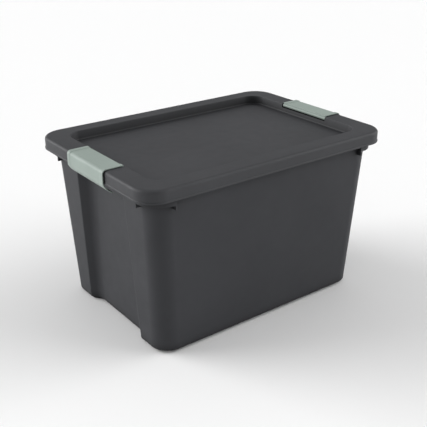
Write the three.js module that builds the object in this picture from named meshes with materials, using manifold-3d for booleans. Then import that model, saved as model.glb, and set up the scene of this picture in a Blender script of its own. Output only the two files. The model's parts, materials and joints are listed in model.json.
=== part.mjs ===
// Stacking latch tote: a tapered storage tub, a lift-off lid and a snap latch at each end.
//
// Millimetres. X runs along the length, Y across the width, +Z up. The origin is the middle of
// the footprint, on the surface that the tote stands on.

import * as THREE from 'three';
import { mergeVertices } from 'three/addons/utils/BufferGeometryUtils.js';
import Module from 'manifold-3d';

const wasm = await Module();
wasm.setup();

// ---- Driving dimensions ------------------------------------------------------------------

const WALL = 2.3;               // tub wall
const SKIN = 2.3;               // lid wall
const SEAT_GAP = 0.3;           // between the lid and the rim that it rests on

// The tub's outer walls at the bottom and at the rim. They slope evenly between the two.
const BASE = { z: 0, halfX: 300, halfY: 209, corner: 46 };
const BROW = { z: 390, halfX: 322, halfY: 225, corner: 48 };

// The wide groove down each end wall: half its width at the mouth and at its flat floor, and its
// curves, a small one over each side's edge at the mouth and a long one from the side to the floor.
const GROOVE_BASE = { mouth: 119, floor: 97, depth: 17 };
const GROOVE_BROW = { mouth: 104, floor: 80, depth: 26 };
const GROOVE_EDGE = 4;
const GROOVE_COVE = { side: 11, floor: 18 };
const GROOVE_TOP = 381;         // where the groove's roof begins, the underside that fingers pull on
const GROOVE_ROOF = 5;          // height over which the roof closes the groove

const FOOT = { halfX: 293, halfY: 198, corner: 40, height: 6, band: 15, rise: 3 };
const FLOOR_TOP = 6;
const FLOOR_FILLET = 6;
const KEEL_RIBS = { count: 5, thickness: 2.4, depth: 1.4 };

const LID = { halfX: 349, halfY: 244, corner: 52, bottom: 390, top: 420, edgeRadius: 8 };
const BEAD = { out: 1.2, height: 3 };
const RECESS = { halfX: 298, halfY: 200, corner: 38, depth: 22, draft: 3 };

const RIM = { halfX: 342, halfY: 237, corner: 49, lipBottom: 393.5 };
const RIM_RIB = { spacing: 76, thickness: 2.2, bottom: 397 };
const CORNER_TAB = { out: 11, bottom: 375, web: 4, webBottom: 365 };

const LATCH = { halfWidth: 80, out: 353.8, top: 422.9, skin: 2.6, edgeRadius: 7, lipAngle: 62 };
const HINGE = { x: 303, z: 415, barrel: 4.6, pin: 2.4, pinEnd: 88, running: 0.3 };
const HINGE_BLOCK = { inner: 297.5, outer: 313, halfWidth: 92, bottom: 407, floor: 2.4 };
const LATCH_POCKET = { from: 326, halfWidth: 84 };

const CHARCOAL = { color: 0x45474a, roughness: 0.62, metalness: 0 };
const LID_CHARCOAL = { color: 0x4b4d50, roughness: 0.58, metalness: 0 };
const SAGE = { color: 0xa3b5a9, roughness: 0.5, metalness: 0 };

const CORNER_STEPS = 8;
const FILLET_STEPS = 3;
const ROUND_STEPS = 24;

// ---- Solids from three.js geometry -------------------------------------------------------

function toSolid(geometry) {
  const bare = geometry.clone();
  bare.deleteAttribute('normal');
  bare.deleteAttribute('uv');
  const merged = mergeVertices(bare, 1e-4);
  return new wasm.Manifold(new wasm.Mesh({
    numProp: 3,
    vertProperties: new Float32Array(merged.attributes.position.array),
    triVerts: new Uint32Array(merged.index.array),
  }));
}

function toMesh(name, solid, finish) {
  const { vertProperties, triVerts } = solid.getMesh();
  const geometry = new THREE.BufferGeometry();
  geometry.setAttribute('position', new THREE.BufferAttribute(vertProperties, 3));
  geometry.setIndex(new THREE.BufferAttribute(triVerts, 1));
  geometry.computeVertexNormals();
  const mesh = new THREE.Mesh(geometry, new THREE.MeshStandardMaterial(finish));
  mesh.name = name;
  return mesh;
}

// A block given by its lowest and highest corners.
function block(low, high) {
  const size = high.map((value, axis) => value - low[axis]);
  const middle = high.map((value, axis) => (value + low[axis]) / 2);
  return toSolid(new THREE.BoxGeometry(...size).translate(...middle));
}

// A rod along Y, centred on the XZ plane.
function rodAlongY(x, z, radius, halfLength) {
  return toSolid(new THREE.CylinderGeometry(radius, radius, 2 * halfLength, ROUND_STEPS).translate(x, 0, z));
}

// Upright prism over an outline in the XY plane.
function prism(shape, bottom, top) {
  const options = { depth: top - bottom, bevelEnabled: false, curveSegments: CORNER_STEPS };
  return toSolid(new THREE.ExtrudeGeometry(shape, options).translate(0, 0, bottom));
}

function joined(solids) {
  return solids.reduce((whole, solid) => whole.add(solid));
}

// Copies on all four corners, on both ends, or on both long sides of the tote.
const MIRRORS = {
  corners: [[1, 1], [-1, 1], [-1, -1], [1, -1]],
  ends: [[1, 1], [-1, 1]],
  sides: [[1, 1], [1, -1]],
};

function mirrored(solid, which) {
  return joined(MIRRORS[which].map(([x, y]) => solid.scale([x, y, 1])));
}

// ---- Lofted shells: rings of one rounded outline, stacked and skinned --------------------

const NO_GROOVE = { mouth: GROOVE_BROW.mouth, floor: GROOVE_BROW.floor, depth: 0 };

// The curve that rounds a corner, from so far before it to so far after it.
function fillet(before, corner, after, reachBefore, reachAfter) {
  const start = corner.clone().add(before.clone().sub(corner).setLength(reachBefore));
  const end = corner.clone().add(after.clone().sub(corner).setLength(reachAfter));
  return new THREE.QuadraticBezierCurve(start, corner, end).getPoints(FILLET_STEPS);
}

// One side of the groove in the first quadrant, from its flat floor to its edge at the mouth.
function grooveSide(halfX, groove) {
  const middle = new THREE.Vector2(halfX - groove.depth, 0);
  const floor = new THREE.Vector2(halfX - groove.depth, groove.floor);
  const mouth = new THREE.Vector2(halfX, groove.mouth);
  const beyond = new THREE.Vector2(halfX, 2 * groove.mouth);
  return [
    ...fillet(middle, floor, mouth, GROOVE_COVE.floor, GROOVE_COVE.side),
    ...fillet(floor, mouth, beyond, GROOVE_EDGE, GROOVE_EDGE),
  ];
}

function roundCorner({ halfX, halfY, corner }) {
  const arc = new THREE.EllipseCurve(halfX - corner, halfY - corner, corner, corner, 0, Math.PI / 2);
  return arc.getPoints(CORNER_STEPS);
}

// One ring of points, anticlockwise from the middle of the +X end.
function ring(z, size, groove = NO_GROOVE) {
  const quarter = [...grooveSide(size.halfX, groove), ...roundCorner(size)];
  const back = [...quarter].reverse();
  const placed = (points, x, y) => points.map((point) => new THREE.Vector3(x * point.x, y * point.y, z));
  return [...placed(quarter, 1, 1), ...placed(back, -1, 1), ...placed(quarter, -1, -1), ...placed(back, 1, -1)];
}

// A closed skin through the rings in order, with a fan of triangles over the first and the last.
function loft(rings) {
  const count = rings[0].length;
  const firstCentre = rings.length * count;
  const lastCentre = firstCentre + 1;
  const lastRing = firstCentre - count;
  const centres = [rings[0], rings.at(-1)].map((points) => new THREE.Vector3(0, 0, points[0].z));
  const triangles = [];
  for (let j = 0; j < count; j += 1) {
    const next = (j + 1) % count;
    triangles.push(firstCentre, next, j);
    triangles.push(lastCentre, lastRing + j, lastRing + next);
    for (let i = 0; i < rings.length - 1; i += 1) {
      const low = i * count;
      const high = low + count;
      triangles.push(low + j, low + next, high + next);
      triangles.push(low + j, high + next, high + j);
    }
  }
  const geometry = new THREE.BufferGeometry();
  geometry.setFromPoints([...rings.flat(), ...centres]);
  geometry.setIndex(triangles);
  return toSolid(geometry);
}

// The same outline, larger or smaller all round.
function offset(size, by) {
  return { halfX: size.halfX + by, halfY: size.halfY + by, corner: size.corner + by };
}

// ---- Tub ---------------------------------------------------------------------------------

const RIM_TOP = LID.top - SKIN - SEAT_GAP;

function blend(from, to, z) {
  const share = z / BROW.z;
  const entries = Object.keys(from).map((key) => [key, THREE.MathUtils.lerp(from[key], to[key], share)]);
  return Object.fromEntries(entries);
}

// The groove as seen from inside the wall, where its sides keep the wall's full thickness.
function widened(groove, inset) {
  const slope = Math.atan2(groove.depth, groove.mouth - groove.floor);
  const shift = inset * Math.tan(slope / 2);
  return { ...groove, mouth: groove.mouth + shift, floor: groove.floor + shift };
}

// A ring of the tub's sloping wall, its groove included. The inset reaches the inner face.
function wallRing(z, inset = 0) {
  const groove = blend(GROOVE_BASE, GROOVE_BROW, z);
  return ring(z, offset(blend(BASE, BROW, z), -inset), widened(groove, inset));
}

// A ring of the foot, which follows the groove in from each end.
function footRing(z, inset) {
  return ring(z, offset(FOOT, -inset), GROOVE_BASE);
}

function tubShell() {
  const footFillet = 2;
  const shoulder = 5;
  const roofTop = GROOVE_TOP + GROOVE_ROOF;
  const mouth = offset(BROW, -WALL);
  return loft([
    footRing(FOOT.rise, FOOT.band),
    footRing(0, FOOT.band - footFillet),
    footRing(0, footFillet),
    footRing(footFillet, 0),
    footRing(FOOT.height, 0),
    wallRing(FOOT.height + footFillet, footFillet),
    wallRing(FOOT.height + shoulder),
    wallRing(GROOVE_TOP),
    ring(roofTop, BROW),
    ring(RIM_TOP - WALL, BROW),
    ring(RIM_TOP - WALL, offset(RIM, -WALL)),
    ring(RIM.lipBottom, offset(RIM, -WALL)),
    ring(RIM.lipBottom, RIM),
    ring(RIM_TOP - footFillet, RIM),
    ring(RIM_TOP, offset(RIM, -footFillet)),
    ring(RIM_TOP, offset(mouth, footFillet / 2)),
    ring(RIM_TOP - footFillet / 2, mouth),
    ring(roofTop + WALL, mouth),
    wallRing(GROOVE_TOP + WALL, WALL),
    wallRing(FLOOR_TOP + FLOOR_FILLET, WALL),
    wallRing(FLOOR_TOP + FLOOR_FILLET / 4, WALL + FLOOR_FILLET / 4),
    wallRing(FLOOR_TOP, WALL + FLOOR_FILLET),
  ]);
}

// A curved apron that hangs below the rim round one corner, between two webs that reach lower.
function cornerTab() {
  const outer = offset(BROW, CORNER_TAB.out);
  const inner = offset(outer, -WALL);
  const centreX = outer.halfX - outer.corner;
  const centreY = outer.halfY - outer.corner;
  const startX = centreX - CORNER_TAB.web;
  const startY = centreY - CORNER_TAB.web;
  const root = 0.8 * WALL;
  const top = RIM_TOP - WALL / 2;
  const apron = new THREE.Shape();
  apron.moveTo(outer.halfX, startY);
  apron.absarc(centreX, centreY, outer.corner, 0, Math.PI / 2, false);
  apron.lineTo(startX, outer.halfY);
  apron.lineTo(startX, inner.halfY);
  apron.absarc(centreX, centreY, inner.corner, Math.PI / 2, 0, true);
  apron.lineTo(inner.halfX, startY);
  apron.closePath();
  const sideWeb = block([startX, BROW.halfY - root, CORNER_TAB.webBottom], [centreX, outer.halfY, top]);
  const endWeb = block([BROW.halfX - root, startY, CORNER_TAB.webBottom], [outer.halfX, centreY, top]);
  return joined([prism(apron, CORNER_TAB.bottom, top), sideWeb, endWeb]);
}

// Ribs between the wall and the rim's turned-down lip, spaced along both long sides.
function rimRibs() {
  const reach = BROW.halfX - CORNER_TAB.out - 2 * BROW.corner;
  const count = Math.floor((2 * reach) / RIM_RIB.spacing) + 1;
  const ribs = Array.from({ length: count }, (_, index) => {
    const x = (index - (count - 1) / 2) * RIM_RIB.spacing;
    const low = [x - RIM_RIB.thickness / 2, BROW.halfY - WALL / 2, RIM_RIB.bottom];
    const high = [x + RIM_RIB.thickness / 2, RIM.halfY - WALL / 2, RIM_TOP - WALL / 2];
    return block(low, high);
  });
  return mirrored(joined(ribs), 'sides');
}

// Shallow ribs across the underside, inside the foot that the tote stands on.
function keelRibs() {
  const half = { x: FOOT.halfX - GROOVE_BASE.depth - FOOT.band / 2, y: FOOT.halfY - FOOT.band / 2 };
  const bottom = FOOT.rise - KEEL_RIBS.depth;
  const top = FOOT.rise + WALL / 2;
  const pitch = (2 * half.x) / (KEEL_RIBS.count + 1);
  const across = Array.from({ length: KEEL_RIBS.count }, (_, index) => {
    const x = (index + 1) * pitch - half.x;
    return block([x - KEEL_RIBS.thickness / 2, -half.y, bottom], [x + KEEL_RIBS.thickness / 2, half.y, top]);
  });
  const along = block([-half.x, -KEEL_RIBS.thickness / 2, bottom], [half.x, KEEL_RIBS.thickness / 2, top]);
  return joined([along, ...across]);
}

// The rim steps back behind each latch, so that the latch's lip has a clear way up.
function latchPockets() {
  const low = [LATCH_POCKET.from, -LATCH_POCKET.halfWidth, GROOVE_TOP];
  const high = [LID.halfX, LATCH_POCKET.halfWidth, LID.top];
  return mirrored(block(low, high), 'ends');
}

function tub() {
  return joined([tubShell(), mirrored(cornerTab(), 'corners'), rimRibs(), keelRibs()])
    .subtract(latchPockets());
}

// ---- Lid ---------------------------------------------------------------------------------

const PANEL_TOP = LID.top - RECESS.depth;
const PANEL = offset(RECESS, -RECESS.draft);

// Rings round the skirt's upper edge, from the upright face to the flat top.
function roundedEdge(size, top, radius, steps) {
  return Array.from({ length: steps + 1 }, (_, index) => {
    const angle = (index / steps) * (Math.PI / 2);
    return ring(top - radius * (1 - Math.sin(angle)), offset(size, -radius * (1 - Math.cos(angle))));
  });
}

function lidShell() {
  const round = 2;
  const underside = offset(LID, -SKIN);
  return loft([
    ring(PANEL_TOP - SKIN, offset(PANEL, SKIN - round)),
    ring(PANEL_TOP - SKIN + round, offset(PANEL, SKIN)),
    ring(LID.top - SKIN, offset(RECESS, SKIN)),
    ring(LID.top - SKIN, offset(underside, SKIN - LID.edgeRadius)),
    ring(LID.top - LID.edgeRadius, underside),
    ring(LID.bottom, underside),
    ring(LID.bottom, offset(LID, BEAD.out)),
    ring(LID.bottom + BEAD.height, offset(LID, BEAD.out)),
    ring(LID.bottom + BEAD.height + BEAD.out, LID),
    ...roundedEdge(LID, LID.top, LID.edgeRadius, 4),
    ring(LID.top, offset(RECESS, round)),
    ring(LID.top - round, RECESS),
    ring(PANEL_TOP + round, PANEL),
    ring(PANEL_TOP, offset(PANEL, -round)),
  ]);
}

// The block under the rim that carries one latch's hinge pins.
function hingeBlock() {
  return block(
    [HINGE_BLOCK.inner, -HINGE_BLOCK.halfWidth, HINGE_BLOCK.bottom],
    [HINGE_BLOCK.outer, HINGE_BLOCK.halfWidth, LID.top - SKIN / 2],
  );
}

// The trough for one latch's barrel, open towards the recess, and the holes for its pins.
function hingeTrough() {
  const endGap = 0.8;
  const half = LATCH.halfWidth + endGap;
  const trough = block(
    [RECESS.halfX - 2 * SKIN, -half, HINGE_BLOCK.bottom + HINGE_BLOCK.floor],
    [HINGE_BLOCK.outer - SKIN, half, LID.top + SKIN],
  );
  const pinHoles = rodAlongY(HINGE.x, HINGE.z, HINGE.pin + HINGE.running, HINGE.pinEnd + 1);
  return trough.add(pinHoles);
}

function lid() {
  return lidShell().add(mirrored(hingeBlock(), 'ends')).subtract(mirrored(hingeTrough(), 'ends'));
}

// ---- Latches -----------------------------------------------------------------------------

// The latch's section: a flap on the rim, a front plate, and a lip curved about the hinge axis.
function latchSection() {
  const inside = LATCH.out - LATCH.skin;
  const edge = { x: LATCH.out - LATCH.edgeRadius, z: LATCH.top - LATCH.edgeRadius };
  const skirtReach = Math.hypot(LID.halfX + BEAD.out - HINGE.x, LID.bottom - HINGE.z);
  const lipInner = skirtReach + 1;
  const lipOuter = lipInner + LATCH.skin;
  const lipEnd = -THREE.MathUtils.degToRad(LATCH.lipAngle);
  const angleAt = (x, radius) => -Math.acos((x - HINGE.x) / radius);
  const flapEnd = HINGE.x - 2;
  const shape = new THREE.Shape();
  shape.moveTo(flapEnd, LATCH.top);
  shape.lineTo(flapEnd, LATCH.top - LATCH.skin);
  shape.lineTo(edge.x, LATCH.top - LATCH.skin);
  shape.absarc(edge.x, edge.z, LATCH.edgeRadius - LATCH.skin, Math.PI / 2, 0, true);
  shape.lineTo(inside, HINGE.z + lipInner * Math.sin(angleAt(inside, lipInner)));
  shape.absarc(HINGE.x, HINGE.z, lipInner, angleAt(inside, lipInner), lipEnd, true);
  shape.absarc(HINGE.x, HINGE.z, lipOuter, lipEnd, angleAt(LATCH.out, lipOuter), false);
  shape.lineTo(LATCH.out, edge.z);
  shape.absarc(edge.x, edge.z, LATCH.edgeRadius, 0, Math.PI / 2, false);
  shape.closePath();
  return shape;
}

// One latch, modelled at the +X end.
function latch() {
  const options = { depth: 2 * LATCH.halfWidth, bevelEnabled: false, curveSegments: CORNER_STEPS };
  const clip = new THREE.ExtrudeGeometry(latchSection(), options);
  clip.rotateX(Math.PI / 2).translate(0, LATCH.halfWidth, 0);
  const webThickness = 4.5;
  const web = block(
    [HINGE.x - 2, -LATCH.halfWidth, HINGE.z],
    [HINGE.x - 2 + webThickness, LATCH.halfWidth, LATCH.top - LATCH.skin / 2],
  );
  const barrel = rodAlongY(HINGE.x, HINGE.z, HINGE.barrel, LATCH.halfWidth);
  const pins = rodAlongY(HINGE.x, HINGE.z, HINGE.pin, HINGE.pinEnd);
  return joined([toSolid(clip), web, barrel, pins]);
}

// ---- Assembly ----------------------------------------------------------------------------

const tote = new THREE.Group();
tote.add(toMesh('tub', tub(), CHARCOAL));
tote.add(toMesh('lid', lid(), LID_CHARCOAL));
for (const [name, turn] of [['latch_right', 0], ['latch_left', Math.PI]]) {
  const mesh = toMesh(name, latch(), SAGE);
  mesh.rotation.z = turn;
  tote.add(mesh);
}

export default tote;
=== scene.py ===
import json
import math
from collections import namedtuple

import bmesh
import bpy
from mathutils import Matrix, Vector


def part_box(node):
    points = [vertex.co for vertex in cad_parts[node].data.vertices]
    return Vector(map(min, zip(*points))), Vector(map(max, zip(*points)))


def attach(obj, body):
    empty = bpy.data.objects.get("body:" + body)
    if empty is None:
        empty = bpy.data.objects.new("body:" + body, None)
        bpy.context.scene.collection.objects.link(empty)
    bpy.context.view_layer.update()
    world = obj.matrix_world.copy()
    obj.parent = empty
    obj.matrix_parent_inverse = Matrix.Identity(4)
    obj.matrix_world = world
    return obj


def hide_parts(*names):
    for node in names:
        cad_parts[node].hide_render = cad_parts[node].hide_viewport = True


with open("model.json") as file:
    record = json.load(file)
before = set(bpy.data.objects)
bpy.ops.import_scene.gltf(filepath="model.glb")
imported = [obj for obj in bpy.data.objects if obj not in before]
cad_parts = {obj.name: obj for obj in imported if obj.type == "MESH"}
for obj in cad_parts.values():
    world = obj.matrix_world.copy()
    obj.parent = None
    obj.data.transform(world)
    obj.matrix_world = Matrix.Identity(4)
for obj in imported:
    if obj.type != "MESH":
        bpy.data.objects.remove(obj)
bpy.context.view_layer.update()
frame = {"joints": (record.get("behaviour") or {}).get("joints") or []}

MM = 0.001

Size = namedtuple("Size", "half_x half_y corner")
Groove = namedtuple("Groove", "mouth floor depth cove edge")
Section = namedtuple("Section", "half_x half_y corner mouth floor depth cove edge z")
Point = namedtuple("Point", "x y")

# ---- Places read from the frame ----------------------------------------------------------

tub_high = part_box("tub")[1]
lid_low, lid_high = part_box("lid")
latch_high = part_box("latch_right")[1]
hinge = Vector(next(j["pos_m"] for j in frame["joints"] if j["name"] == "latch_right_hinge"))

# ---- Driving dimensions ------------------------------------------------------------------

WALL = 2.3 * MM
SKIN = 2.3 * MM

RIM = Size(tub_high.x, tub_high.y, 49 * MM)
RIM_DROP = 23.9 * MM
RIM_POCKET = Groove(92 * MM, 84 * MM, 16 * MM, 6 * MM, 6 * MM)
BROW = Size(RIM.half_x - 20 * MM, RIM.half_y - 12 * MM, 48 * MM)
BROW_Z = 390 * MM
BASE = Size(BROW.half_x - 22 * MM, BROW.half_y - 16 * MM, 46 * MM)
GROOVE_BROW = Groove(104 * MM, 80 * MM, 26 * MM, 18 * MM, 2.5 * MM)
GROOVE_BASE = Groove(119 * MM, 97 * MM, 17 * MM, 18 * MM, 2.5 * MM)
GROOVE_TOP = 381 * MM
GROOVE_ROOF = 5 * MM
FOOT = Size(BASE.half_x - 7 * MM, BASE.half_y - 11 * MM, 40 * MM)
FOOT_HEIGHT = 6 * MM
FOOT_BAND = 15 * MM
FOOT_RISE = 3 * MM
FLOOR_TOP = 6 * MM
RIB = 2.2 * MM
RIB_SPACING = 76 * MM
TAB_OUT = 11 * MM
TAB_DROP = 42.4 * MM
TAB_WEB = 4 * MM
TAB_WEB_DROP = 52.4 * MM

BEAD = 1.2 * MM
BEAD_HEIGHT = 3 * MM
LID = Size(lid_high.x - BEAD, lid_high.y - BEAD, 52 * MM)
LID_EDGE = 8 * MM
RECESS = Size(LID.half_x - 51 * MM, LID.half_y - 44 * MM, 38 * MM)
RECESS_DEPTH = 22 * MM
RECESS_DRAFT = 3 * MM
PANEL_TOP = lid_high.z - RECESS_DEPTH
HINGE_BLOCK = Vector((313 * MM, 92 * MM, lid_high.z - 13 * MM))
TROUGH = Vector((HINGE_BLOCK.x - SKIN, 80.8 * MM, HINGE_BLOCK.z + 2.4 * MM))

LATCH_HALF = 80 * MM
LATCH_SKIN = 2.6 * MM
LATCH_EDGE = 9 * MM
LATCH_BORDER = 10 * MM
PLATE_DISH = 0.7 * MM
FLAP_DISH = 1.4 * MM
LIP_ANGLE = math.radians(62)
BARREL = 4.6 * MM
WEB = (-2 * MM, 2.5 * MM)
PIN = 2.4 * MM
PIN_PLAY = 0.3 * MM

CHARCOAL = (0.036, 0.037, 0.041)
LID_CHARCOAL = (0.045, 0.046, 0.050)
SAGE = (0.27, 0.32, 0.292)

# ---- Curves ------------------------------------------------------------------------------

def steps(count):
    return [index / count for index in range(count + 1)]


def mix(a, b, share):
    return type(a)(*(x + (y - x) * share for x, y in zip(a, b)))


def bezier(a, middle, b, count):
    """The curve that turns from a to b round the corner at middle."""
    return [mix(mix(a, middle, t), mix(middle, b, t), t) for t in steps(count)]


def toward(a, b, distance):
    return mix(a, b, distance / math.dist(a, b))


def arc(x, y, radius, start, end, count):
    angles = [start + (end - start) * t for t in steps(count)]
    return [Point(x + radius * math.cos(a), y + radius * math.sin(a)) for a in angles]


def corner_arc(size):
    middle = (size.half_x - size.corner, size.half_y - size.corner)
    return arc(*middle, size.corner, 0, math.pi / 2, 18)


# ---- Sections: the tote's outline at one height -------------------------------------------

def section(size, z, groove=None, inset=0.0):
    grown = [value - inset for value in size]
    return Section(*grown, *(groove or GROOVE_BROW._replace(depth=0.0)), z)


def quarter(s):
    """A quarter of the outline, from the middle of the end to the middle of the long side."""
    middle = Point(s.half_x - s.depth, 0.0)
    floor = Point(s.half_x - s.depth, s.floor)
    mouth = Point(s.half_x, s.mouth)
    bend = corner_arc(s)
    longest = 0.45 * math.dist(floor, mouth)
    cove = min(s.cove, longest)
    edge = min(s.edge, longest)
    at_floor = bezier(toward(floor, middle, s.cove), floor, toward(floor, mouth, cove), 8)
    at_mouth = bezier(toward(mouth, floor, edge), mouth, toward(mouth, bend[0], edge), 6)
    level = [mix(middle, at_floor[0], t) for t in steps(6)[:-1]]
    pillar = [mix(at_mouth[-1], bend[0], t) for t in steps(4)[1:-1]]
    long_side = [mix(bend[-1], Point(0.0, s.half_y), t) for t in steps(12)[1:]]
    return level + at_floor + at_mouth + pillar + bend + long_side


def outline(s):
    """All four quarters, anticlockwise from the middle of the +X end."""
    first = quarter(s)
    half = first + [Point(-p.x, p.y) for p in reversed(first[:-1])]
    return half + [Point(p.x, -p.y) for p in reversed(half[1:-1])]


def shrunk(s, share):
    return Section(*(value * share for value in s[:-1]), s.z)


def inward(s):
    """Smaller copies of a section, level with it, that carry a flat panel towards its middle."""
    return [shrunk(s, share) for share in (0.9, 0.72, 0.5, 0.28, 0.08)]


def run(a, b):
    """How far apart two sections are, measured up the middle of a long side."""
    return math.dist((a.half_y, a.z), (b.half_y, b.z))


def rounded(corners, count=4, longest=30 * MM):
    """A stack of sections, with each corner turned into a short curve, and rows along long runs."""
    rows = [corners[0][0]]
    for index in range(1, len(corners)):
        here, fillet = corners[index]
        turn = [here]
        if fillet:
            before, after = corners[index - 1][0], corners[index + 1][0]
            start = mix(here, before, fillet / run(here, before))
            end = mix(here, after, fillet / run(here, after))
            turn = bezier(start, here, end, count)
        extra = int(run(rows[-1], turn[0]) / longest) + 1
        rows += [mix(rows[-1], turn[0], t) for t in steps(extra)[1:-1]]
        rows += turn
    return rows


# ---- Meshes ------------------------------------------------------------------------------

def new_object(name, bm):
    bmesh.ops.remove_doubles(bm, verts=bm.verts, dist=0.002 * MM)
    bmesh.ops.recalc_face_normals(bm, faces=bm.faces)
    mesh = bpy.data.meshes.new(name)
    bm.to_mesh(mesh)
    bm.free()
    piece = bpy.data.objects.new(name, mesh)
    bpy.context.scene.collection.objects.link(piece)
    return piece


def skin(name, rings):
    """A closed skin through rings of points, with a flat face over the first and the last."""
    bm = bmesh.new()
    rows = [[bm.verts.new(point) for point in ring] for ring in rings]
    for low, high in zip(rows, rows[1:]):
        for j in range(len(low)):
            bm.faces.new((low[j - 1], low[j], high[j], high[j - 1]))
    bm.faces.new(rows[0])
    bm.faces.new(rows[-1])
    return new_object(name, bm)


def loft(name, sections):
    rows = [*reversed(inward(sections[0])), *sections, *inward(sections[-1])]
    return skin(name, [[(p.x, p.y, s.z) for p in outline(s)] for s in rows])


def prism(name, points, low, high):
    return skin(name, [[(p.x, p.y, z) for p in points] for z in (low, high)])


def block(name, low, high):
    x, y, bottom = low
    far_x, far_y, top = high
    return prism(name, [Point(x, y), Point(far_x, y), Point(far_x, far_y), Point(x, far_y)], bottom, top)


def rod(name, x, z, radius, half_length, edge):
    """A rod along Y with rounded ends."""
    half = [(half_length - edge + p.x, radius - edge + p.y) for p in arc(0, 0, edge, 0, math.pi / 2, 3)]
    stations = half + [(-y, r) for y, r in reversed(half)]
    around = [arc(x, z, r, 0, 2 * math.pi, 32)[:-1] for _, r in stations]
    return skin(name, [[(p.x, y, p.y) for p in ring] for (y, _), ring in zip(stations, around)])


def applied(piece):
    """Bakes a piece's modifiers into its mesh."""
    graph = bpy.context.evaluated_depsgraph_get()
    mesh = bpy.data.meshes.new_from_object(piece.evaluated_get(graph))
    old = piece.data
    piece.modifiers.clear()
    piece.data = mesh
    bpy.data.meshes.remove(old)
    return piece


def bevelled(piece, width):
    bevel = piece.modifiers.new("edges", "BEVEL")
    bevel.width = width
    bevel.segments = 2
    bevel.limit_method = "ANGLE"
    bevel.angle_limit = math.radians(50)
    return applied(piece)


def combined(piece, others, operation):
    """Joins the other solids to a piece, or cuts them from it, and removes them."""
    for other in others:
        boolean = piece.modifiers.new("boolean", "BOOLEAN")
        boolean.operation = operation
        boolean.solver = "EXACT"
        boolean.object = other
        applied(piece)
        bpy.data.objects.remove(other)
    return piece


def merged(pieces):
    """Several solids that don't touch, as one object."""
    bm = bmesh.new()
    for piece in pieces:
        bm.from_mesh(piece.data)
        bpy.data.objects.remove(piece)
    return new_object("merged", bm)


def mirrored(piece, x, y):
    bm = bmesh.new()
    bm.from_mesh(piece.data)
    bmesh.ops.scale(bm, vec=(x, y, 1), verts=bm.verts)
    return new_object("mirrored", bm)


def smooth(piece, angle=math.radians(34)):
    """Smooth shading, with a crisp edge wherever two faces meet at more than the angle."""
    bm = bmesh.new()
    bm.from_mesh(piece.data)
    for face in bm.faces:
        face.smooth = True
    for edge in bm.edges:
        edge.smooth = edge.calc_face_angle(0.0) < angle
    bm.to_mesh(piece.data)
    bm.free()
    normals = piece.modifiers.new("normals", "WEIGHTED_NORMAL")
    normals.keep_sharp = True
    return applied(piece)


# ---- Tub ---------------------------------------------------------------------------------

def wall(z, inset=0.0):
    """A section of the sloping wall, with the wide groove down each end."""
    share = z / BROW_Z
    groove = mix(GROOVE_BASE, GROOVE_BROW, share)
    widening = inset * math.tan(math.atan2(groove.depth, groove.mouth - groove.floor) / 2)
    groove = groove._replace(mouth=groove.mouth + widening, floor=groove.floor + widening)
    return section(mix(BASE, BROW, share), z, groove, inset)


def foot(z, inset=0.0):
    return section(FOOT, z, GROOVE_BASE, inset)


def rim(z, inset=0.0):
    return section(RIM, z, RIM_POCKET, inset)


def tub_shell():
    top = tub_high.z
    roof = GROOVE_TOP + GROOVE_ROOF
    return loft("tub_shell", rounded([
        (foot(FOOT_RISE, FOOT_BAND), 0),
        (foot(0, FOOT_BAND - 2 * MM), 0.8 * MM),
        (foot(0), 2 * MM),
        (foot(FOOT_HEIGHT), 0.8 * MM),
        (wall(FOOT_HEIGHT + 0.5 * MM), 4 * MM),
        (wall(GROOVE_TOP), 2 * MM),
        (section(BROW, roof), 1.5 * MM),
        (section(BROW, top - WALL), 1 * MM),
        (rim(top - WALL, WALL), 1 * MM),
        (rim(top - RIM_DROP, WALL), 0.8 * MM),
        (rim(top - RIM_DROP), 0.8 * MM),
        (rim(top), 2.2 * MM),
        (section(BROW, top, inset=WALL), 1.2 * MM),
        (section(BROW, roof + WALL, inset=WALL), 2 * MM),
        (wall(GROOVE_TOP + WALL, WALL), 2 * MM),
        (wall(FLOOR_TOP, WALL), 8 * MM),
        (shrunk(wall(FLOOR_TOP, WALL), 0.93), 0),
    ]))


def corner_tab():
    """A curved apron that hangs below the rim round one corner, between two webs that reach lower."""
    outer = Size(*(value + TAB_OUT for value in BROW))
    inner = Size(*(value - WALL for value in outer))
    end = Point(outer.half_x - outer.corner, outer.half_y - outer.corner)
    start = Point(end.x - TAB_WEB, end.y - TAB_WEB)
    root = Point(BROW.half_x - 0.8 * WALL, BROW.half_y - 0.8 * WALL)
    outside = [Point(outer.half_x, start.y), *corner_arc(outer), Point(start.x, outer.half_y)]
    inside = [Point(start.x, inner.half_y), *reversed(corner_arc(inner)), Point(inner.half_x, start.y)]
    top = tub_high.z - WALL / 2
    apron = prism("tab", outside + inside, tub_high.z - TAB_DROP, top)
    low = tub_high.z - TAB_WEB_DROP
    side_web = block("web", (start.x, root.y, low), (end.x, outer.half_y, top))
    end_web = block("web", (root.x, start.y, low), (outer.half_x, end.y, top))
    return bevelled(combined(apron, [side_web, end_web], "UNION"), 0.7 * MM)


def rim_ribs():
    """Ribs between the wall and the rim's turned-down lip, along both long sides."""
    low = tub_high.z - RIM_DROP + 3.5 * MM
    high = tub_high.z - WALL / 2
    count = int(2 * (BROW.half_x - TAB_OUT - 2 * BROW.corner) / RIB_SPACING) + 1
    ribs = []
    for index in range(count):
        x = (index - (count - 1) / 2) * RIB_SPACING
        for side in (-1, 1):
            near, far = sorted((side * (BROW.half_y - WALL / 2), side * (RIM.half_y - WALL / 2)))
            ribs.append(block("rib", (x - RIB / 2, near, low), (x + RIB / 2, far, high)))
    return ribs


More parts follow.
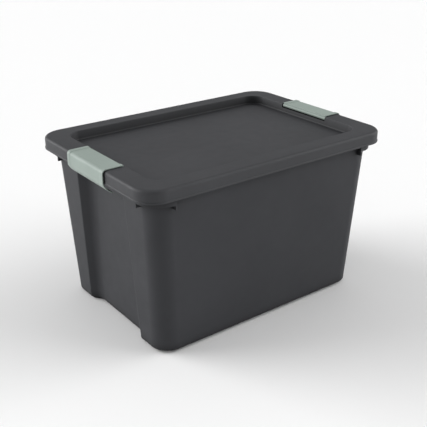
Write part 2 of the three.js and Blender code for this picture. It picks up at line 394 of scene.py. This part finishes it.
def keel_ribs(count=5):
    """Shallow ribs across the underside, inside the foot, and one along it."""
    half_x = FOOT.half_x - GROOVE_BASE.depth - FOOT_BAND / 2
    half_y = FOOT.half_y - FOOT_BAND / 2
    low = FOOT_RISE - 1.4 * MM
    high = FOOT_RISE + 1 * MM
    pitch = 2 * half_x / (count + 1)
    ribs = [block("rib", (-half_x, -RIB / 2, low), (half_x, RIB / 2, high))]
    for index in range(count):
        x = (index + 1) * pitch - half_x
        ribs.append(block("rib", (x - RIB / 2, -half_y, low), (x + RIB / 2, half_y, high)))
    return ribs


def make_tub():
    tab = corner_tab()
    tabs = [mirrored(tab, x, y) for x in (-1, 1) for y in (-1, 1)]
    bpy.data.objects.remove(tab)
    along, *across = keel_ribs()
    solids = [merged(tabs + rim_ribs()), merged(across), along]
    return smooth(combined(tub_shell(), solids, "UNION"))


# ---- Lid ---------------------------------------------------------------------------------

def recess(z, inset=0.0):
    """A section of the drafted wall round the lid's sunk panel."""
    return section(RECESS, z, inset=inset + (lid_high.z - z) / RECESS_DEPTH * RECESS_DRAFT)


def bulged(s, reach, half):
    """The section carried out to reach at each end, over a middle stretch with square corners."""
    depth = s.half_x - reach
    return s._replace(mouth=half + 0.8 * MM, floor=half, depth=depth, cove=0.35 * MM, edge=0.35 * MM)


def unbulged(s, half):
    return bulged(s, s.half_x, half)


def lid_shell():
    top = lid_high.z
    low = lid_low.z
    under = top - SKIN
    return loft("lid_shell", rounded([
        (unbulged(recess(PANEL_TOP - SKIN, 2 * MM - SKIN), HINGE_BLOCK.y), 0),
        (unbulged(recess(PANEL_TOP, -SKIN), HINGE_BLOCK.y), 1.5 * MM),
        (unbulged(recess(HINGE_BLOCK.z, -SKIN), HINGE_BLOCK.y), 0),
        (bulged(recess(HINGE_BLOCK.z, -SKIN), HINGE_BLOCK.x, HINGE_BLOCK.y), 0),
        (bulged(recess(under, -SKIN), HINGE_BLOCK.x, HINGE_BLOCK.y), 0),
        (section(LID, under, inset=SKIN + LID_EDGE), 3 * MM),
        (section(LID, under - LID_EDGE, inset=SKIN), 3 * MM),
        (section(LID, low, inset=SKIN), 0.6 * MM),
        (section(LID, low, inset=-BEAD), 0.8 * MM),
        (section(LID, low + BEAD_HEIGHT, inset=-BEAD), 0.7 * MM),
        (section(LID, low + BEAD_HEIGHT + BEAD), 0.6 * MM),
        (section(LID, top), LID_EDGE),
        (bulged(section(RECESS, top), TROUGH.x, TROUGH.y), 2 * MM),
        (bulged(recess(TROUGH.z), TROUGH.x, TROUGH.y), 0),
        (unbulged(recess(TROUGH.z), TROUGH.y), 0),
        (unbulged(recess(PANEL_TOP), TROUGH.y), 3 * MM),
        (shrunk(unbulged(recess(PANEL_TOP), TROUGH.y), 0.93), 0),
    ], count=6))


def make_lid():
    reach = HINGE_BLOCK.y - 3 * MM
    holes = [rod("hole", side * hinge.x, hinge.z, PIN + PIN_PLAY, reach, 0.2 * MM) for side in (-1, 1)]
    return smooth(combined(lid_shell(), holes, "DIFFERENCE"))


# ---- Latches -----------------------------------------------------------------------------

def latch_section(share):
    """The section of the latch at the +X end, as X and Z. The share sinks its outer faces a little."""
    top = latch_high.z
    out = latch_high.x
    plate = out - share * PLATE_DISH
    flap = top - share * FLAP_DISH
    edge_x = out - LATCH_EDGE
    edge_z = top - LATCH_EDGE
    flap_end = hinge.x + WEB[0]
    lip = math.dist((lid_high.x, lid_low.z), (hinge.x, hinge.z)) + 1 * MM
    back = lip + LATCH_SKIN
    lip_end = LIP_ANGLE - LATCH_SKIN / 2 / lip
    lip_start = math.acos((out - LATCH_SKIN - hinge.x) / lip)
    back_start = math.acos((plate - hinge.x) / back)
    reach = (lip + back) / 2
    tip = Point(hinge.x + reach * math.cos(lip_end), hinge.z - reach * math.sin(lip_end))
    web_angles = [math.acos(side / BARREL) for side in WEB]
    return [
        *arc(flap_end + 0.8 * MM, flap - 0.8 * MM, 0.8 * MM, math.pi / 2, math.pi, 4),
        *arc(hinge.x, hinge.z, BARREL, web_angles[0], 2 * math.pi + web_angles[1], 28),
        *arc(hinge.x + WEB[1] + 1 * MM, top - LATCH_SKIN - 1 * MM, 1 * MM, math.pi, math.pi / 2, 3),
        *arc(edge_x, edge_z, LATCH_EDGE - LATCH_SKIN, math.pi / 2, 0, 10),
        *arc(hinge.x, hinge.z, lip, -lip_start, -lip_end, 14),
        *arc(*tip, LATCH_SKIN / 2, math.pi - lip_end, 2 * math.pi - lip_end, 8)[1:-1],
        *arc(hinge.x, hinge.z, back, -lip_end, -back_start, 14),
        *arc(plate - LATCH_EDGE, flap - LATCH_EDGE, LATCH_EDGE, 0, math.pi / 2, 12),
    ]


def drawn_in(points, distance):
    """A closed anticlockwise outline with every side moved inwards."""
    moved = []
    for j, here in enumerate(points):
        before, after = points[j - 1], points[(j + 1) % len(points)]
        behind = Vector((here.x - before.x, here.y - before.y)).normalized()
        ahead = Vector((after.x - here.x, after.y - here.y)).normalized()
        normal = Vector((-behind.y - ahead.y, behind.x + ahead.x)).normalized()
        reach = distance / max(0.5, normal.dot(Vector((-ahead.y, ahead.x))))
        moved.append(Point(here.x + reach * normal.x, here.y + reach * normal.y))
    return moved


def latch_stations(edge=0.7 * MM, slope=3.5 * MM):
    """Along the latch from +Y to -Y: where each section lies, how sunk it is, how far it is drawn in."""
    ends = [(LATCH_HALF - edge + p.x, 0.0, edge - p.y) for p in arc(0, 0, edge, 0, math.pi / 2, 4)]
    border = LATCH_HALF - LATCH_BORDER
    sinking = [(border - slope * t, t * t * (3 - 2 * t), 0.0) for t in steps(8)]
    middle = [(along * (border - slope), 1.0, 0.0) for along in (0.75, 0.5, 0.25)]
    half = ends + sinking + middle
    return half + [(-y, share, inset) for y, share, inset in reversed(half)]


def make_latch(name, end):
    """The latch at the +X end, or turned half round to the -X end."""
    rings = []
    for y, share, inset in latch_stations():
        rings.append([(p.x, y, p.y) for p in drawn_in(latch_section(share), inset)])
    pins = rod("pins", hinge.x, hinge.z, PIN, latch_high.y, 0.5 * MM)
    clip = combined(skin(name, rings), [pins], "UNION")
    clip.data.transform(Matrix.Scale(end, 4, (1, 0, 0)) @ Matrix.Scale(end, 4, (0, 1, 0)))
    return smooth(clip)


# ---- Materials ---------------------------------------------------------------------------

def noise(tree, scale, detail):
    place = tree.nodes.new("ShaderNodeTexCoord")
    texture = tree.nodes.new("ShaderNodeTexNoise")
    texture.inputs["Scale"].default_value = scale
    texture.inputs["Detail"].default_value = detail
    tree.links.new(place.outputs["Object"], texture.inputs["Vector"])
    return texture.outputs["Fac"]


def ranged(tree, value, start, end, low, high):
    spread = tree.nodes.new("ShaderNodeMapRange")
    sockets = {"From Min": start, "From Max": end, "To Min": low, "To Max": high}
    for socket, number in sockets.items():
        spread.inputs[socket].default_value = number
    tree.links.new(value, spread.inputs["Value"])
    return spread.outputs["Result"]


def blended(tree, share, first, second):
    """Mixes two colours, each one either three numbers or another node's output."""
    blend = tree.nodes.new("ShaderNodeMix")
    blend.data_type = "RGBA"
    factor, a, b = (blend.inputs[index] for index in (0, 6, 7))
    tree.links.new(share, factor)
    for socket, colour in ((a, first), (b, second)):
        if isinstance(colour, bpy.types.NodeSocket):
            tree.links.new(colour, socket)
        else:
            socket.default_value = (*colour, 1)
    return blend.outputs[2]


def bumped(tree, height, distance, under=None):
    bump = tree.nodes.new("ShaderNodeBump")
    bump.inputs["Distance"].default_value = distance
    tree.links.new(height, bump.inputs["Height"])
    if under:
        tree.links.new(under, bump.inputs["Normal"])
    return bump.outputs["Normal"]


def worn_colour_with_painted_light(tree, colour, tone, scuff_and_highlight, painted_shade):
    """The colour with faint clouds in it, paler along edges from rubbed wear and a painted highlight,
    and darkened in the hollows by painted shade.
    """
    dark = [channel * (1 - tone) for channel in colour]
    light = [channel * (1 + tone) for channel in colour]
    # Convex edges are made paler: partly rubbed wear, partly a painted highlight.
    rubbed_and_highlit = [channel + scuff_and_highlight * (1 - channel) for channel in colour]
    shaded = [channel * (1 - painted_shade) for channel in colour]
    edges = tree.nodes.new("ShaderNodeNewGeometry").outputs["Pointiness"]
    # Painted shade: an ambient occlusion node darkens the colour where nearby surfaces close in.
    hollows = tree.nodes.new("ShaderNodeAmbientOcclusion")
    hollows.samples = 8
    hollows.inputs["Distance"].default_value = 32 * MM
    body = blended(tree, ranged(tree, noise(tree, 7, 3), 0.35, 0.65, 0, 1), dark, light)
    body = blended(tree, ranged(tree, edges, 0.52, 0.6, 0, 0.6), body, rubbed_and_highlit)
    return blended(tree, ranged(tree, hollows.outputs["AO"], 0.45, 0.95, 0, 1), shaded, body)


def plastic(name, colour, roughness, tone=0.05, scuff_and_highlight=0.03, painted_shade=0.75):
    """Moulded polypropylene, a little wavy, with a fine grain and an uneven gloss."""
    material = bpy.data.materials.new(name)
    material.use_nodes = True
    tree = material.node_tree
    shader = tree.nodes["Principled BSDF"]
    # The base colour carries painted shade in the hollows and, along convex edges, rubbed wear with a
    # painted highlight.
    tree.links.new(worn_colour_with_painted_light(tree, colour, tone, scuff_and_highlight, painted_shade), shader.inputs["Base Color"])
    rough = ranged(tree, noise(tree, 38, 4), 0.3, 0.7, roughness - 0.03, roughness + 0.03)
    tree.links.new(rough, shader.inputs["Roughness"])
    waves = bumped(tree, noise(tree, 11, 1), 0.2 * MM)
    grain = bumped(tree, noise(tree, 1300, 2), 0.03 * MM, waves)
    tree.links.new(grain, shader.inputs["Normal"])
    shader.inputs["Specular IOR Level"].default_value = 0.22
    return material


# ---- Light, floor and camera -------------------------------------------------------------

def aimed(item, place, target):
    item.location = place
    item.rotation_euler = (Vector(target) - Vector(place)).to_track_quat("-Z", "Y").to_euler()
    bpy.context.scene.collection.objects.link(item)


def softbox(name, azimuth, elevation, spread, strength):
    """A large, far light. Its angles are in degrees, the azimuth from +X towards +Y."""
    light = bpy.data.lights.new(name, "SUN")
    light.angle = math.radians(spread)
    light.energy = strength
    turn = math.radians(azimuth)
    rise = math.radians(elevation)
    place = Vector((math.cos(rise) * math.cos(turn), math.cos(rise) * math.sin(turn), math.sin(rise)))
    aimed(bpy.data.objects.new(name, light), 5 * place, (0, 0, 0))


def make_studio():
    world = bpy.data.worlds.new("studio")
    world.use_nodes = True
    world.node_tree.nodes["Background"].inputs["Color"].default_value = (1, 1, 1, 1)
    world.node_tree.nodes["Background"].inputs["Strength"].default_value = 0.36
    bpy.context.scene.world = world
    softbox("left", 132, 16, 50, 3.7)
    softbox("right", -28, 18, 60, 2.6)
    softbox("top", 60, 75, 70, 0.45)


def make_floor():
    floor = prism("floor", arc(0, 0, 14, 0, 2 * math.pi, 96)[:-1], -0.02, 0)
    material = bpy.data.materials.new("floor")
    material.use_nodes = True
    shader = material.node_tree.nodes["Principled BSDF"]
    shader.inputs["Base Color"].default_value = (0.9, 0.9, 0.9, 1)
    shader.inputs["Roughness"].default_value = 0.9
    shader.inputs["Specular IOR Level"].default_value = 0.1
    floor.data.materials.append(material)


def make_camera():
    lens = bpy.data.cameras.new("camera")
    lens.lens = 63
    camera = bpy.data.objects.new("camera", lens)
    aimed(camera, (-1.05, -1.39, 0.98), (0, 0, lid_high.z / 2 - 0.01))
    bpy.context.scene.camera = camera


# ---- Assembly ----------------------------------------------------------------------------

def fitted(piece, node, material):
    """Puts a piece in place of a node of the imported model, with its material."""
    piece.data.materials.clear()
    piece.data.materials.append(material)
    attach(piece, node)
    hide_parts(node)


# After the roughness come the tone clouds, the edge lightening (rubbed wear and a painted highlight) and
# the painted shade in the hollows, where given.
charcoal = plastic("charcoal", CHARCOAL, 0.58)
lid_charcoal = plastic("lid_charcoal", LID_CHARCOAL, 0.56)
sage = plastic("sage", SAGE, 0.5, tone=0.03, scuff_and_highlight=0.12, painted_shade=0.4)

fitted(make_tub(), "tub", charcoal)
fitted(make_lid(), "lid", lid_charcoal)
fitted(make_latch("latch_right_clip", 1), "latch_right", sage)
fitted(make_latch("latch_left_clip", -1), "latch_left", sage)

make_studio()
make_floor()
make_camera()
bpy.context.scene.view_settings.view_transform = "Standard"

bpy.context.view_layer.update()
